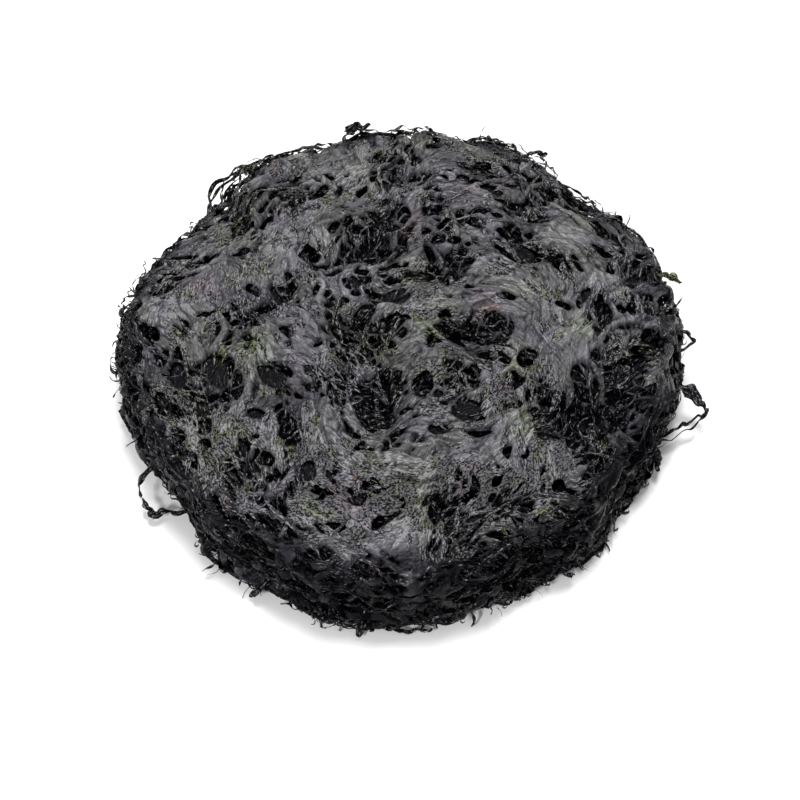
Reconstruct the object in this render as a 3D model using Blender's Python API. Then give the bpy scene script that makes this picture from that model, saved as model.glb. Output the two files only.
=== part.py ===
"""Dried purple laver: one round, flat cake of matted seaweed, frayed at its rim. Metres, +Z up.

The cake lies on the plane z = 0 with its axis on +Z. It is one solid: a body with an uneven outline,
a torn and hollowed top and a side in rough tiers, and the fronds that stick out of it all round.
"""

import math

import bmesh
import bpy
from mathutils import Vector, noise

# The cake
RADIUS = 0.123  # mean radius at the waist, the widest height
HEIGHT = 0.052  # height of the undisturbed top
WAIST = 0.42 * HEIGHT  # height of the widest ring
CROWN_POWER = 3.6  # superellipse power above the waist: higher is flatter with a tighter shoulder
FOOT_TUCK = 0.03  # share by which the foot is narrower than the waist
SHOULDER = 0.93  # share of the radius where the top mesh ends and the side rows begin

# Slow waves of the outline: (waves round the rim, share of the radius, angle of a crest in degrees)
OUTLINE_WAVES = (
    (1, 0.0120, -126),
    (2, 0.0110, 68),
    (3, 0.0040, 20),
    (4, 0.0150, 2),
    (6, 0.0180, 11),
    (7, 0.0110, 20),
)

# Lumps all over: (size, height)
LUMPS = ((0.046, 0.0040), (0.019, 0.0030), (0.009, 0.0016))

# Raised strands, which form a web over the whole surface
WEB_SIZE = 0.027
WEB_HEIGHT = 0.0030
WEB_SHARPNESS = 4  # how quickly a strand falls away on both sides
WEB_LEVEL = 0.5  # share of a strand's height that lies above the undisturbed surface

# Hollows where the top is torn open: (x, y, radius, depth)
HOLLOWS = (
    (0.082, -0.049, 0.026, 0.0060),
    (0.030, -0.009, 0.017, 0.0050),
    (-0.009, -0.046, 0.017, 0.0055),
    (-0.032, 0.036, 0.016, 0.0045),
    (-0.012, 0.039, 0.014, 0.0040),
    (0.020, 0.026, 0.016, 0.0045),
    (0.056, 0.040, 0.014, 0.0050),
    (-0.059, 0.007, 0.015, 0.0045),
    (-0.005, 0.013, 0.014, 0.0040),
    (-0.021, -0.006, 0.017, 0.0035),
    (0.097, -0.012, 0.017, 0.0045),
    (0.101, 0.026, 0.012, 0.0035),
    (-0.080, -0.027, 0.015, 0.0040),
    (-0.056, -0.032, 0.015, 0.0040),
    (-0.070, -0.073, 0.015, 0.0040),
    (-0.093, -0.053, 0.015, 0.0040),
    (0.016, -0.094, 0.013, 0.0035),
    (0.029, -0.030, 0.014, 0.0035),
    (0.056, 0.062, 0.015, 0.0035),
    (0.083, 0.068, 0.015, 0.0040),
    (0.039, 0.086, 0.017, 0.0040),
    (-0.053, 0.086, 0.013, 0.0035),
    (-0.080, 0.067, 0.017, 0.0040),
    (0.002, 0.083, 0.013, 0.0030),
    (-0.096, 0.036, 0.014, 0.0035),
    (0.026, -0.048, 0.013, 0.0030),
)

# Clefts between the tiers of the side: (height, depth, waves round the rim, angle of a crest in degrees)
CLEFTS = ((0.0150, 0.0060, 3, 20), (0.0305, 0.0046, 2, 110))
CLEFT_WAVE = 0.0030  # how far a cleft climbs and falls
CLEFT_WIDTH = 0.0030
TIER_OFFSET = 0.0050  # how far a tier stands out or back along its way round
TIER_BUMPS = 3  # how closely a tier's bumps follow each other: the radius of a ring read from the noise
TIER_APART = 7  # how far apart two tiers are in the noise, so that their bumps differ

# Mesh density
TOP_CELLS = 36  # cells across the top, in each direction
SIDE_ROWS = 12  # rows from the shoulder down to the foot
SHOULDER_ROWS = 2  # rows over which the tiers come in
SHARP_DEGREES = 60  # edges that bend more than this are shown sharp

# Fronds, in millimetres: (width, thickness, points), each point (angle in degrees, distance past the waist,
# height). The first point is inside the body. A frond whose last point is inside too is a loop.
MM = 0.001
FROND_SIDES = 6
FROND_STEPS = 9
FROND_TAPER = 0.72  # share of its width that a frond loses by its free end
ROOT = -14
FRONDS = (
    # The broad ribbon on the right, its way back to the rim, and the small loop above it
    (4.6, 2.2, ((-2, ROOT, 24), (-5, -3, 22), (-7.5, 6, 18), (-10, 14, 13))),
    (2.6, 2.0, ((-9.5, 13.5, 13), (-13, 7, 11), (-16, 1, 10), (-20, ROOT, 12))),
    (2.4, 2.0, ((5, ROOT, 30), (3.5, 1, 30), (1, 5, 27), (-2, ROOT, 25))),
    # The low loop on the left, and the twig above it
    (2.8, 2.2, ((206, ROOT, 20), (207.5, 0, 18), (208.5, 7.5, 12), (210.5, 8.5, 8))),
    (3.0, 2.2, ((210, 8.5, 8.5), (214, 7.5, 6), (216, 0, 6), (221, ROOT, 9))),
    (3.0, 2.2, ((206, ROOT, 26), (203.5, -1, 24), (199.5, 2.5, 25))),
    # Leaf ends along the front
    (5.0, 2.4, ((264, ROOT, 10), (263, -4, 9), (262, 4.5, 4))),
    (4.8, 2.2, ((243, ROOT, 9), (242, -1, 7), (240, 5, 5))),
    (7.5, 2.6, ((304, ROOT, 14), (304, -1, 11), (304.5, 4.5, 7))),
    (3.6, 2.0, ((268, ROOT, 8), (270, 1, 6), (275, 2.5, 4))),
    # Wisps along the back and the right
    (4.4, 2.2, ((61, ROOT, 41), (59, -1, 43), (56, 2.5, 44))),
    (4.0, 2.2, ((18, ROOT, 36), (15.5, -1, 37), (13, 3.5, 37))),
    (3.6, 2.0, ((124, ROOT, 40), (130, 1.5, 40), (136, 3, 38), (143, ROOT, 36))),
    (5.0, 2.4, ((104, ROOT, 43), (101, -2, 45), (97, -1, 45))),
    (4.6, 2.2, ((340, ROOT, 12), (338, 1, 10), (335, 4, 8))),
)

LAVER_COLOUR = (0.022, 0.021, 0.024, 1)
LAVER_ROUGHNESS = 0.55


def clear_scene():
    for obj in list(bpy.data.objects):
        bpy.data.objects.remove(obj)


def laver_material():
    material = bpy.data.materials.new("laver")
    material.use_nodes = True
    shader = material.node_tree.nodes["Principled BSDF"]
    shader.inputs["Base Color"].default_value = LAVER_COLOUR
    shader.inputs["Roughness"].default_value = LAVER_ROUGHNESS
    shader.inputs["Metallic"].default_value = 0
    return material


def outline(angle):
    """Radius of the waist at this angle."""
    waves = 0
    for count, share, crest in OUTLINE_WAVES:
        waves += share * math.cos(count * (angle - math.radians(crest)))
    return RADIUS * (1 + waves)


def crown_height(share):
    """Height of the undisturbed surface above the waist, at this share of the outline's radius."""
    return WAIST + (HEIGHT - WAIST) * (1 - share**CROWN_POWER) ** (1 / CROWN_POWER)


def side_profile(row):
    """(share of the radius, height) of a side row: down the crown's curve to the waist, then to the foot."""
    crown_rows = SIDE_ROWS // 2
    if row <= crown_rows:
        start = math.asin(SHOULDER ** (CROWN_POWER / 2))
        turn = start + (math.pi / 2 - start) * row / crown_rows
        share = math.sin(turn) ** (2 / CROWN_POWER)
        return share, crown_height(min(share, 1))
    down = (row - crown_rows) / (SIDE_ROWS - crown_rows)
    return 1 - FOOT_TUCK * down**2, WAIST * (1 - down)


def relief(point):
    """Height of the lumps and strands at a point of the undisturbed surface."""
    lumps = sum(height * noise.noise(point / size) for size, height in LUMPS)
    strand = WEB_LEVEL - min(1, WEB_SHARPNESS * abs(noise.noise(point / WEB_SIZE)))
    return lumps + WEB_HEIGHT * strand


def hollow_depth(x, y):
    """Depth of the deepest hollow at this spot of the top."""
    deepest = 0
    for hollow_x, hollow_y, radius, depth in HOLLOWS:
        away = math.hypot(x - hollow_x, y - hollow_y) / radius
        if away < 1:
            deepest = max(deepest, depth * (1 - away**2) ** 2)
    return deepest


def tier_offset(angle, height):
    """How far the side stands out at this spot: each tier has its own bumps, with clefts below and above."""
    offset = 0
    tier = 0
    for middle, deepest, waves, crest in CLEFTS:
        level = middle + CLEFT_WAVE * math.sin(waves * (angle - math.radians(crest)))
        offset -= deepest * math.exp(-(((height - level) / CLEFT_WIDTH) ** 2))
        tier += height > level
    around = Vector((TIER_BUMPS * math.cos(angle), TIER_BUMPS * math.sin(angle), TIER_APART * tier))
    return offset + TIER_OFFSET * noise.noise(around)


def disc_spot(x, y):
    """Maps a square of half side 1 onto the unit disc, in rings: (distance from the centre, angle)."""
    if x == 0 and y == 0:
        return 0, 0
    if abs(x) > abs(y):
        distance, angle = x, math.pi / 4 * y / x
    else:
        distance, angle = y, math.pi / 2 - math.pi / 4 * x / y
    if distance < 0:
        distance, angle = -distance, angle + math.pi
    return distance, angle


def side_point(angle, row):
    """A vertex of the side, moved in or out only, so that the underside stays flat."""
    share, height = side_profile(row)
    reach = outline(angle) * share
    plain = Vector((reach * math.cos(angle), reach * math.sin(angle), height))
    fade_in = min(1, row / SHOULDER_ROWS)
    reach += relief(plain) + tier_offset(angle, height) * fade_in
    return Vector((reach * math.cos(angle), reach * math.sin(angle), height))


def cake_mesh():
    """The closed body: a grid bent into the top, its border drawn down the side, and a flat underside."""
    bm = bmesh.new()
    bmesh.ops.create_grid(bm, x_segments=TOP_CELLS, y_segments=TOP_CELLS, size=1)
    for vert in bm.verts:
        distance, angle = disc_spot(vert.co.x, vert.co.y)
        share = distance * SHOULDER
        reach = outline(angle) * share
        x, y = reach * math.cos(angle), reach * math.sin(angle)
        height = crown_height(share)
        height += relief(Vector((x, y, height))) - hollow_depth(x, y)
        vert.co = (x, y, height)
    border = [edge for edge in bm.edges if edge.is_boundary]
    for row in range(1, SIDE_ROWS + 1):
        drawn = bmesh.ops.extrude_edge_only(bm, edges=border)["geom"]
        for vert in (item for item in drawn if isinstance(item, bmesh.types.BMVert)):
            vert.co = side_point(math.atan2(vert.co.y, vert.co.x), row)
        border = [item for item in drawn if isinstance(item, bmesh.types.BMEdge) and item.is_boundary]
    # The short diagonal keeps the cells along the square's diagonals from folding.
    bmesh.ops.triangulate(bm, faces=bm.faces, quad_method="SHORT_EDGE")
    bmesh.ops.holes_fill(bm, edges=border, sides=0)
    bmesh.ops.recalc_face_normals(bm, faces=bm.faces)
    mesh = bpy.data.meshes.new("laver_cake")
    bm.to_mesh(mesh)
    bm.free()
    return mesh


def rim_place(degrees, past_waist, height):
    angle = math.radians(degrees)
    reach = outline(angle) + past_waist
    return Vector((reach * math.cos(angle), reach * math.sin(angle), height))


def smooth_path(points, steps):
    """Points along a smooth curve through the given ones (Catmull-Rom)."""
    ends = [2 * points[0] - points[1], *points, 2 * points[-1] - points[-2]]
    path = []
    for step in range(steps + 1):
        along = step / steps * (len(points) - 1)
        index = min(int(along), len(points) - 2)
        t = along - index
        a, b, c, d = ends[index : index + 4]
        cubic = (3 * b - a - 3 * c + d) * t**3
        square = (2 * a - 5 * b + 4 * c - d) * t**2
        path.append(0.5 * (2 * b + (c - a) * t + square + cubic))
    return path


def frond(name, width, thickness, places):
    """A flat, tapering strip along its path, closed at both ends: a helper that the body is joined with."""
    places = [(degrees, past * MM, height * MM) for degrees, past, height in places]
    path = smooth_path([rim_place(*place) for place in places], FROND_STEPS)
    returns = places[-1][1] == ROOT * MM
    bm = bmesh.new()
    rings = []
    for index, point in enumerate(path):
        ahead = path[min(index + 1, FROND_STEPS)] - path[max(index - 1, 0)]
        across = ahead.cross(Vector((0, 0, 1))).normalized()
        upright = across.cross(ahead).normalized()
        along = index / FROND_STEPS
        taper = 1 if returns else 1 - FROND_TAPER * along**2
        ring = []
        for side in range(FROND_SIDES):
            turn = 2 * math.pi * side / FROND_SIDES
            offset = across * math.cos(turn) * width / 2 + upright * math.sin(turn) * thickness / 2
            ring.append(bm.verts.new(point + offset * taper))
        rings.append(ring)
    for ring, following in zip(rings, rings[1:]):
        for side in range(FROND_SIDES):
            beside = (side + 1) % FROND_SIDES
            bm.faces.new((ring[side], ring[beside], following[beside], following[side]))
    bm.faces.new(rings[0])
    bm.faces.new(reversed(rings[-1]))
    bmesh.ops.recalc_face_normals(bm, faces=bm.faces)
    mesh = bpy.data.meshes.new(name)
    bm.to_mesh(mesh)
    bm.free()
    helper = bpy.data.objects.new(name, mesh)
    bpy.context.collection.objects.link(helper)
    helper.hide_render = True
    helper.display_type = "WIRE"
    return helper


def build():
    clear_scene()
    cake = bpy.data.objects.new("laver_cake", cake_mesh())
    bpy.context.collection.objects.link(cake)
    cake.data.materials.append(laver_material())
    cake.data.shade_smooth()
    cake.data.set_sharp_from_angle(angle=math.radians(SHARP_DEGREES))
    for index, (width, thickness, places) in enumerate(FRONDS):
        join = cake.modifiers.new(f"join_frond_{index}", "BOOLEAN")
        join.operation = "UNION"
        join.solver = "EXACT"
        join.object = frond(f"frond_{index}", width * MM, thickness * MM, places)


build()
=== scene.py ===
"""The looks of a round cake of dried purple laver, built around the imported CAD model. Metres, +Z up.

The cake is drawn as four thin sheets, one under the other, which follow the CAD body's surface. Each is a
felt of leaves and strands with holes in it, through which the next one shows. Loose threads, leaf ends and
fronds lie on top, and the CAD body's own fronds are drawn again with frayed ends.
"""

import math

import bpy
import numpy as np
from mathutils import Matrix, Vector
from mathutils.bvhtree import BVHTree


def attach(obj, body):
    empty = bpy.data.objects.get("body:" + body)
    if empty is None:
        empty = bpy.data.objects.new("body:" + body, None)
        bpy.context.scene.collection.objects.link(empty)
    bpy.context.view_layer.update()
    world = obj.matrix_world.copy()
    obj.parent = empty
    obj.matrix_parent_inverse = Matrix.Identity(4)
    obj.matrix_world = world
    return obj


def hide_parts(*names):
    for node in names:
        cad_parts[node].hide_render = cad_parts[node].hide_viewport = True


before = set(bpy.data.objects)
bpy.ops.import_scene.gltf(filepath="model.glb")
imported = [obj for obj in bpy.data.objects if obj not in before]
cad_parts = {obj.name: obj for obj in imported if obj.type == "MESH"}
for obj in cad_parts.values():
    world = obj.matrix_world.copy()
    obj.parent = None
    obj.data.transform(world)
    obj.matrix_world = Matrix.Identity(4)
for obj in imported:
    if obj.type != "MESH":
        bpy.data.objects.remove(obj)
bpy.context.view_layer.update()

MM, CM = 0.001, 0.01

# ---------------------------------------------------------------- the cake's bare shape
# The surface without its relief: the CAD body's outline and the profile that its sides were drawn with

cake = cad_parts["laver_cake"]
cake_tree = BVHTree.FromPolygons([v.co for v in cake.data.vertices], [p.vertices for p in cake.data.polygons])
HEIGHT = 0.052
WAIST = 0.42 * HEIGHT
CROWN_POWER = 3.6
FOOT_TUCK = 0.03
RIM_ANGLES = 360
RIM_TURNS = np.arange(RIM_ANGLES) * 2 * math.pi / RIM_ANGLES
RIM_WAVES = 10  # the outline is kept up to this many waves round the rim


def cad_outline():
    """Radius of the CAD cake at its waist, all round. The middle value of each stretch drops the fronds."""
    reach = []
    for angle in RIM_TURNS:
        outward = Vector((math.cos(angle), math.sin(angle), 0))
        hits = []
        for height in np.linspace(0.35, 0.65, 5) * HEIGHT:
            spot = cake_tree.ray_cast(Vector((0, 0, height)), outward)[0]
            hits.append(math.hypot(spot.x, spot.y))
        reach.append(np.median(hits))
    stretch = [np.roll(reach, shift) for shift in range(-9, 10)]
    waves = np.fft.rfft(np.median(stretch, axis=0))
    waves[RIM_WAVES:] = 0
    return np.fft.irfft(waves, RIM_ANGLES)


outline_table = cad_outline()


def outline(angle):
    return np.interp(angle, RIM_TURNS, outline_table, period=2 * math.pi)


# The profile from the middle of the top to the foot, as (share of the radius, height), by the way along it
turns = np.linspace(0, math.pi / 2, 400)
crown_share = np.sin(turns) ** (2 / CROWN_POWER)
crown_z = WAIST + (HEIGHT - WAIST) * np.cos(turns) ** (2 / CROWN_POWER)
down = np.linspace(0, 1, 200)[1:]
flat_share = np.linspace(0, crown_share[1], 20)[:-1]
profile_share = np.concatenate([flat_share, crown_share[1:], 1 - FOOT_TUCK * down**2])
profile_z = np.concatenate([np.full(len(flat_share), HEIGHT), crown_z[1:], WAIST * (1 - down)])
profile_step = np.hypot(np.diff(profile_share) * outline_table.mean(), np.diff(profile_z))
profile_way = np.concatenate([[0], np.cumsum(profile_step)])
WAY_END = profile_way[-1]


def flat(way, angle):
    """x and y of a place this way off in this direction."""
    return way * np.cos(angle), way * np.sin(angle)


def skin(way, angle):
    """A point of the bare surface, by its way along the skin from the middle and its angle."""
    reach = np.interp(way, profile_way, profile_share) * outline(angle)
    return np.stack([*flat(reach, angle), np.interp(way, profile_way, profile_z)], -1)


def unit(vectors):
    return vectors / np.maximum(np.linalg.norm(vectors, axis=-1, keepdims=True), 1e-12)


def skin_normal(way, angle):
    nudge = 0.0008
    beyond = skin(way + nudge, angle) - skin(np.maximum(way - nudge, 0), angle)
    turn_step = nudge / np.maximum(way, nudge)
    beside = skin(way, angle + turn_step) - skin(way, angle - turn_step)
    normal = unit(np.cross(beyond, beside))
    return np.where((way < 1e-5)[..., None], [0, 0, 1], normal)


# ---------------------------------------------------------------- maps of the surface
# A map covers the cake's skin rolled out flat: its middle is the middle of the top, and a
# spot's distance from the middle is the way along the skin, over the shoulder and down the side.

MAP_STEP = 0.0004
MAP_CELLS = 864
MAP_HALF = MAP_CELLS * MAP_STEP / 2
axis = (np.arange(MAP_CELLS) + 0.5) * MAP_STEP - MAP_HALF
MAP_X, MAP_Y = np.meshgrid(axis, axis)
MAP_REACH = np.hypot(MAP_X, MAP_Y)
MAP_ANGLE = np.arctan2(MAP_Y, MAP_X)
ONES = np.ones((MAP_CELLS, MAP_CELLS))


def smooth(field, size):
    """Gaussian blur of a map, its size in millimetres, which wraps round at the map's borders."""
    down = np.fft.fftfreq(MAP_CELLS)[:, None]
    across = np.fft.rfftfreq(MAP_CELLS)[None, :]
    gain = np.exp(-2 * np.pi**2 * (down**2 + across**2) * (size * MM / MAP_STEP) ** 2)
    return np.fft.irfft2(np.fft.rfft2(field) * gain, s=field.shape)


def cloud(random, size):
    """Smooth noise with mean 0 and spread 1."""
    field = smooth(random.standard_normal((MAP_CELLS, MAP_CELLS)), size)
    return (field - field.mean()) / field.std()


def ease(value, low, high):
    share = np.clip((value - low) / (high - low), 0, 1)
    return share * share * (3 - 2 * share)


def splat(rows, columns, weights):
    """A map with these weights added at these places, each shared between its four cells."""
    row, column = np.floor(rows).astype(np.int64), np.floor(columns).astype(np.int64)
    down, across = rows - row, columns - column
    total = np.zeros(MAP_CELLS**2)
    for row_step in (0, 1):
        for column_step in (0, 1):
            share = (down if row_step else 1 - down) * (across if column_step else 1 - across)
            cell = (row + row_step) % MAP_CELLS * MAP_CELLS + (column + column_step) % MAP_CELLS
            total += np.bincount(cell, weights=share * weights, minlength=MAP_CELLS**2)
    return total.reshape(MAP_CELLS, MAP_CELLS)


def between(table, row, column):
    """A table's values at rows and columns that need not be whole."""
    r, c = np.floor(row).astype(np.int64), np.floor(column).astype(np.int64)
    down, across = row - r, column - c
    near = table[r, c] * (1 - across) + table[r, c + 1] * across
    return near * (1 - down) + (table[r + 1, c] * (1 - across) + table[r + 1, c + 1] * across) * down


def read(field, x, y):
    """A map's values at these places, in metres."""
    row, column = (np.clip((value + MAP_HALF) / MAP_STEP - 0.5, 0, MAP_CELLS - 1.001) for value in (y, x))
    return between(field, row, column)


def nearest(field, rows, columns):
    row = np.floor(rows).astype(np.int64) % MAP_CELLS
    return field[row, np.floor(columns).astype(np.int64) % MAP_CELLS]


def cad_relief():
    """How far the CAD body's surface stands out from the bare one, in millimetres, as a map."""
    depth, most = 0.016, 7  # how deep the rays start, in metres, and the most relief, in millimetres
    way_step, angles = 0.0015, 270
    ways = np.arange(0, WAY_END, way_step)
    way, angle = np.meshgrid(ways, np.arange(angles) * 2 * math.pi / angles, indexing="ij")
    normal = skin_normal(way, angle)
    start = skin(way, angle)
    start[..., 2] = np.maximum(start[..., 2], MM)
    start -= normal * depth
    rise = np.zeros(way.shape)
    for place in np.ndindex(*way.shape):
        away = cake_tree.ray_cast(Vector(start[place]), Vector(normal[place]))[3]
        rise[place] = 0 if away is None else (away - depth) / MM
    rise = np.clip(rise, -most, most)
    around = [np.roll(rise, shift, 1) for shift in range(-2, 3)]
    rise = np.median(around, axis=0)
    rise = np.concatenate([rise, rise[:, :2]], axis=1)
    row = np.clip(MAP_REACH / way_step, 0, len(ways) - 1.001)
    return smooth(between(rise, row, np.mod(MAP_ANGLE, 2 * np.pi) / (2 * np.pi) * angles), 1.2)


PULL, TURN_KEPT = 0.08, 0.93  # how soon a strand follows the flow, and how much of its turning it keeps


def trace(random, flow, rows, columns, lengths, stray=0.35, wobble=0.02):
    """Walks strands along the flow, one map cell at a time, each with its own stray angle. lengths: in
    millimetres."""
    count = len(rows)
    steps = int(lengths.max() * MM / MAP_STEP) + 1
    stray_angle = random.normal(0, stray, count)
    heading = nearest(flow, rows, columns) + stray_angle + np.pi * (random.random(count) < 0.5)
    turn = np.zeros(count)
    all_rows, all_columns, headings = (np.empty((steps, count)) for _ in range(3))
    for step in range(steps):
        all_rows[step], all_columns[step], headings[step] = rows, columns, heading
        wanted = nearest(flow, rows, columns) + stray_angle
        off = (wanted - heading + np.pi / 2) % np.pi - np.pi / 2
        turn = TURN_KEPT * turn + random.normal(0, wobble, count)
        heading = heading + PULL * off + turn
        rows, columns = rows + np.sin(heading), columns + np.cos(heading)
        stray_angle *= 0.997
    return all_rows, all_columns, headings


def log_spread(random, low, high, count):
    return np.exp(random.uniform(math.log(low), math.log(high), count))


def ridges(random, flow, where, count, lengths, size):
    """Strands of one size: their height, and the doubled direction that they run in. Millimetres."""
    rows, columns = random.uniform(0, MAP_CELLS, (2, 3 * count))
    kept = random.random(3 * count) < nearest(where, rows, columns)
    rows, columns = rows[kept][:count], columns[kept][:count]
    reach = log_spread(random, *lengths, len(rows))
    rows, columns, headings = trace(random, flow, rows, columns, reach)
    along = np.arange(len(rows))[:, None] * MAP_STEP / MM / reach[None, :]
    weights = np.sqrt(np.clip(6 * along, 0, 1) * np.clip(6 * (1 - along), 0, 1))
    weights = weights * random.uniform(0.6, 1.15, len(reach))[None, :]
    drawn = weights > 0
    rows, columns, headings, weights = (table[drawn] for table in (rows, columns, headings, weights))
    full = math.sqrt(2 * math.pi) * size * MM / MAP_STEP
    height = smooth(splat(rows, columns, weights), size) * full
    runs = (weights * np.cos(2 * headings), weights * np.sin(2 * headings))
    return height, *(smooth(splat(rows, columns, run), 1.8 * size) * full for run in runs)


def combed(random, flow, reach, across):
    """Noise drawn out along the flow: fine fibres, with mean 0 and spread 1. reach: how far they are drawn
    to either side, and across: how thick they are, in millimetres."""
    source = smooth(random.standard_normal((MAP_CELLS, MAP_CELLS)), across)
    steps = int(reach * MM / MAP_STEP)
    down, right = np.sin(flow), np.cos(flow)
    start_rows, start_columns = np.mgrid[0:MAP_CELLS, 0:MAP_CELLS].astype(np.float32)
    total = source.copy()
    for sign in (1, -1):
        rows, columns = start_rows.copy(), start_columns.copy()
        row_step, column_step = sign * down, sign * right
        for step in range(1, steps + 1):
            rows, columns = rows + row_step, columns + column_step
            r = np.floor(rows + 0.5).astype(np.int32) % MAP_CELLS
            c = np.floor(columns + 0.5).astype(np.int32) % MAP_CELLS
            new_row, new_column = down[r, c], right[r, c]
            same_way = np.where(new_row * row_step + new_column * column_step < 0, -1, 1)
            row_step, column_step = new_row * same_way, new_column * same_way
            total += math.cos(0.5 * math.pi * step / (steps + 1)) ** 2 * source[r, c]
    total -= total.mean()
    return total / total.std()


def patches(places):
    """Soft patches: (x, y, half length, half width, turn in degrees, amount), lengths in millimetres."""
    total = 0 * ONES
    for x, y, half_length, half_width, degrees, amount in places:
        cosine, sine = math.cos(math.radians(degrees)), math.sin(math.radians(degrees))
        right, up = MAP_X / MM - x, MAP_Y / MM - y
        along, across = (right * cosine + up * sine) / half_length, (up * cosine - right * sine) / half_width
        total += amount * np.exp(-((along**2 + across**2) ** 1.5))
    return total


def window(row, column, turn, reach, warp):
    """The map cells round a place, and their coordinates along and across it, in millimetres."""
    reach = int(reach * MM / MAP_STEP) + 2
    rows = np.arange(int(row) - reach, int(row) + reach + 1)
    columns = np.arange(int(column) - reach, int(column) + reach + 1)
    cells = np.ix_(rows % MAP_CELLS, columns % MAP_CELLS)
    y = (rows[:, None] - row) * MAP_STEP / MM + warp[0][cells]
    x = (columns[None, :] - column) * MAP_STEP / MM + warp[1][cells]
    return cells, x * math.cos(turn) + y * math.sin(turn), y * math.cos(turn) - x * math.sin(turn)


WALL = 0.7  # how thick the walls between the holes are at least, in millimetres


def pits(random, flow, openness, count, radii, stretches, warp):
    """Round and oval holes with walls between them: how far inside the nearest hole's edge each spot is, in
    millimetres (negative outside), and a random value for each hole. openness: the share of holes kept;
    stretches: how much longer than wide a hole may be, as a map."""
    first, second, lot = 9 * ONES, 9 * ONES, 0 * ONES
    rows, columns = random.uniform(0, MAP_CELLS, (2, count))
    sizes = radii[0] + (radii[1] - radii[0]) * random.beta(1.3, 3.2, count)
    kept = random.random(count) < nearest(openness, rows, columns)
    draws = 1 + (nearest(stretches, rows, columns) - 1) * random.random(count) ** 1.5
    turns = nearest(flow, rows, columns) + random.normal(0, 0.3, count)
    lots = random.random(count)
    for row, column, size, draw, turn, value in zip(*(
        table[kept] for table in (rows, columns, sizes, draws, turns, lots)
    )):
        cells, along, across = window(row, column, turn, size * draw**0.5 + 2.5, warp)
        away = np.hypot(along / draw**0.5, across * draw**0.5) - size
        old_first, old_second = first[cells], second[cells]
        nearer = away < old_first
        second[cells] = np.where(nearer, old_first, np.minimum(old_second, away))
        first[cells] = np.where(nearer, away, old_first)
        lot[cells] = np.where(nearer, value, lot[cells])
    return np.minimum(-first, (second - first - WALL) / 1.6), lot


def rents(places, warp):
    """How far inside the nearest of these holes each spot is, in millimetres (negative outside)."""
    inside = -9 * ONES
    for x, y, half_length, half_width, degrees in places:
        row, column = ((MAP_HALF + value / 10 * CM) / MAP_STEP for value in (y, x))
        cells, along, across = window(row, column, math.radians(degrees), half_length + 3, warp)
        share = np.hypot(along / half_length, across / half_width)
        inside[cells] = np.maximum(inside[cells], (1 - share) * half_width)
    return inside


def leaves(random, flow, count, lengths, slimness, warp):
    """Leaves that lie over each other, the highest last: the height they reach in millimetres, the shadow
    along their edges, the direction each runs in, and a random value for each. Lengths in millimetres."""
    height, shadow, lot, way = 0 * ONES, 0 * ONES, 0.5 * ONES, flow.copy()
    rows, columns = random.uniform(0, MAP_CELLS, (2, count))
    halves = log_spread(random, lengths[0] / 2, lengths[1] / 2, count)
    slims = random.uniform(*slimness, count)
    turns = nearest(flow, rows, columns) + random.normal(0, 0.35, count)
    bends, tilts, lots = random.normal(0, 0.35, count), random.normal(0, 0.3, count), random.random(count)
    levels = np.sort(random.uniform(0, 0.9, count))
    for row, column, half, slim, turn, bend, tilt, value, level in zip(
        rows, columns, halves, slims, turns, bends, tilts, lots, levels
    ):
        cells, along, across = window(row, column, turn, half + 1.5, warp)
        along = along / half
        wide = half * slim
        across = across - bend * wide * along**2
        inside = wide * np.sqrt(np.clip(1 - along**2, 0, 1)) - np.abs(across)
        on = (inside > 0) & (np.abs(along) < 1)
        new = level + tilt * across / wide + 0.15 * np.exp(-np.maximum(inside, 0) / 0.5)
        drop = np.clip((new - height[cells]) / 0.35, 0, 1)
        rim = drop * np.exp(np.minimum(inside, 0) / 0.40) * (np.abs(along) < 1.05)
        shadow[cells] = np.where(on, shadow[cells] * 0.1, np.maximum(shadow[cells], rim))
        height[cells] = np.where(on, np.maximum(new, height[cells] - 0.3), height[cells])
        way[cells] = np.where(on, turn + bend * slim * 2 * along, way[cells])
        lot[cells] = np.where(on, value, lot[cells])
    return height, shadow, way, lot


# Places on the rolled-out skin, in millimetres: (x, y, half length, half width, turn in degrees, amount).
# First where the mat is torn open, and where it is felted shut
OPEN = (
    (82, -49, 23, 19, 10, 1.6), (30, -9, 15, 10, -30, 1.3), (-9, -46, 9, 20, -8, 1.3),
    (-32, 36, 14, 11, 30, 1), (-12, 39, 16, 9, 10, 0.8), (20, 26, 10, 16, 20, 1), (56, 39, 13, 7, -20, 1.2),
    (-59, 7, 15, 8, 35, 1.1), (-6, 13, 13, 9, 0, 0.9), (-21, -6, 18, 10, -10, 0.9), (97, -12, 16, 14, 0, 1),
    (102, 26, 9, 10, 0, 0.9), (-80, -28, 10, 12, 20, 0.9), (-56, -33, 14, 8, -30, 0.9),
    (-98, -32, 9, 15, 0, 0.8), (-112, -12, 8, 22, 5, 1), (-70, -73, 14, 10, -30, 0.9),
    (-96, -53, 12, 13, -40, 1), (16, -94, 14, 6, -10, 1), (30, -29, 13, 9, 0, 0.8), (56, 62, 14, 8, -15, 1),
    (85, 68, 13, 9, -30, 1), (39, 86, 18, 8, 5, 1), (-53, 86, 12, 7, 25, 0.9), (-82, 68, 18, 8, 35, 0.9),
    (2, 83, 13, 6, 0, 0.8), (-7, 53, 9, 6, 20, 0.9), (46, 50, 9, 5, 10, 0.8), (-96, 36, 13, 8, 40, 0.8),
    (26, -48, 11, 8, 0, 0.6), (-20, -80, 16, 6, 0, 0.6), (74, 87, 14, 8, -40, 0.8),
    (-63, -48, 9, 6, 0, 0.6),
)
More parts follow.
